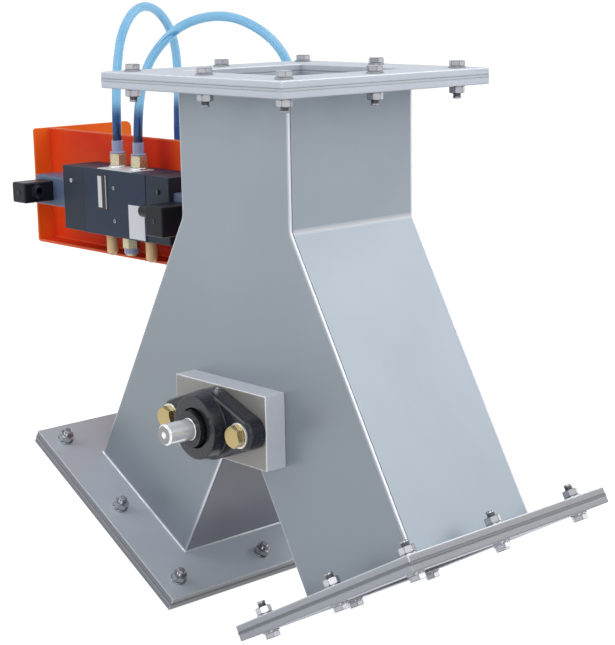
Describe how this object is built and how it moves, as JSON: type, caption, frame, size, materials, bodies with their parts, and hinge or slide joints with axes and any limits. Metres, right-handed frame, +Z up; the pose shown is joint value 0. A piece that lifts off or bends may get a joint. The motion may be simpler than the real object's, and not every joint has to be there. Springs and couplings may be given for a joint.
{
  "type": "diverter damper",
  "caption": "Square-duct diverter damper with a swinging flap, angled outlets, flange bearings and a pneumatic drive on a side console.",
  "frame": {"origin": "centre of the inlet's top face", "axes": "+Z up out of the inlet, -Y along the flap shaft to its bare front end, +X to the outlet away from the drive"},
  "size_m": [0.7833, 0.345, 0.5687],
  "materials": {
    "sheet_steel": "satin stainless sheet",
    "flange_steel": "satin stainless plate",
    "gasket": "matt grey rubber",
    "zinc_bolts": "bright zinc",
    "machined_steel": "machined",
    "black_casting": "black gloss paint",
    "bearing_steel": "ground",
    "yellow_zinc": "yellow zinc",
    "felt": "grey felt",
    "blade_steel": "satin stainless plate",
    "tip_rubber": "matt black rubber",
    "orange_paint": "gloss orange red",
    "barrel": "satin anodised",
    "caps": "cast, painted grey",
    "plated_steel": "zinc plated",
    "valve_paint": "charcoal",
    "coil_plastic": "black",
    "button": "black",
    "brass": "bright brass",
    "collar_plastic": "blue",
    "bronze": "sintered bronze",
    "tube": "pale blue"
  },
  "bodies": {
    "housing": {"front_plate": "sheet_steel", "rear_plate": "sheet_steel", "left_side_plate": "sheet_steel", "right_side_plate": "sheet_steel", "left_inner_plate": "sheet_steel", "right_inner_plate": "sheet_steel", "shaft_saddle": "sheet_steel", "inlet_flange": "flange_steel", "left_flange": "flange_steel", "right_flange": "flange_steel", "inlet_counter_flange": "flange_steel", "left_counter_flange": "flange_steel", "right_counter_flange": "flange_steel", "flange_gaskets": "gasket", "flange_bolts": "zinc_bolts", "flange_nuts": "zinc_bolts", "flange_washers": "zinc_bolts", "foot_bolts": "zinc_bolts", "console_fasteners": "zinc_bolts", "front_bearing_block": "machined_steel", "rear_bearing_block": "machined_steel", "front_bearing_housing": "black_casting", "rear_bearing_housing": "black_casting", "bearing_outer_rings": "bearing_steel", "bearing_balls": "bearing_steel", "bearing_bolts": "yellow_zinc", "shaft_seals": "felt", "console_panel": "orange_paint", "console_floor": "orange_paint", "console_end_wall": "orange_paint", "cylinder_barrel": "barrel", "cylinder_rear_cap": "caps", "cylinder_front_cap": "caps", "tie_rods": "plated_steel", "cylinder_feet": "plated_steel", "valve_body": "valve_paint", "pilot_caps": "valve_paint", "valve_coils": "coil_plastic", "coil_connectors": "coil_plastic", "port_fittings": "brass", "supply_fitting": "brass", "release_collars": "collar_plastic", "silencers": "bronze", "air_tube_a": "tube", "air_tube_b": "tube"},
    "flap": {"flap_shaft": "bearing_steel", "flap_hub": "machined_steel", "flap_blade": "blade_steel", "flap_seal": "tip_rubber", "flap_screws": "zinc_bolts", "lever": "machined_steel", "lever_key": "machined_steel", "lever_end_bolt": "zinc_bolts", "bearing_inner_rings": "bearing_steel"},
    "drive_rod": {"piston_rod": "bearing_steel", "piston": "barrel", "rod_fork": "plated_steel", "fork_pin": "bearing_steel"},
    "left_button": {"left_override_button": "button"},
    "right_button": {"right_override_button": "button"}
  },
  "joints": [
    {"name": "flap_swing", "type": "hinge", "parent": "housing", "child": "flap", "pos_m": [0, 0, -0.31664], "axis": [0, 1, 0], "range_deg": [0, 42]},
    {"name": "rod_stroke", "type": "slide", "parent": "housing", "child": "drive_rod", "axis": [1, 0, 0], "range_m": [0, 0.11258]},
    {"name": "left_override_press", "type": "slide", "parent": "housing", "child": "left_button", "axis": [0, 1, 0], "range_m": [0, 0.0015], "stiffness_N_per_m": 800},
    {"name": "right_override_press", "type": "slide", "parent": "housing", "child": "right_button", "axis": [0, 1, 0], "range_m": [0, 0.0015], "stiffness_N_per_m": 800}
  ],
  "couplings": [
    {"joint": "rod_stroke", "follows": "flap_swing", "m_per_rad": 0.15358}
  ]
}
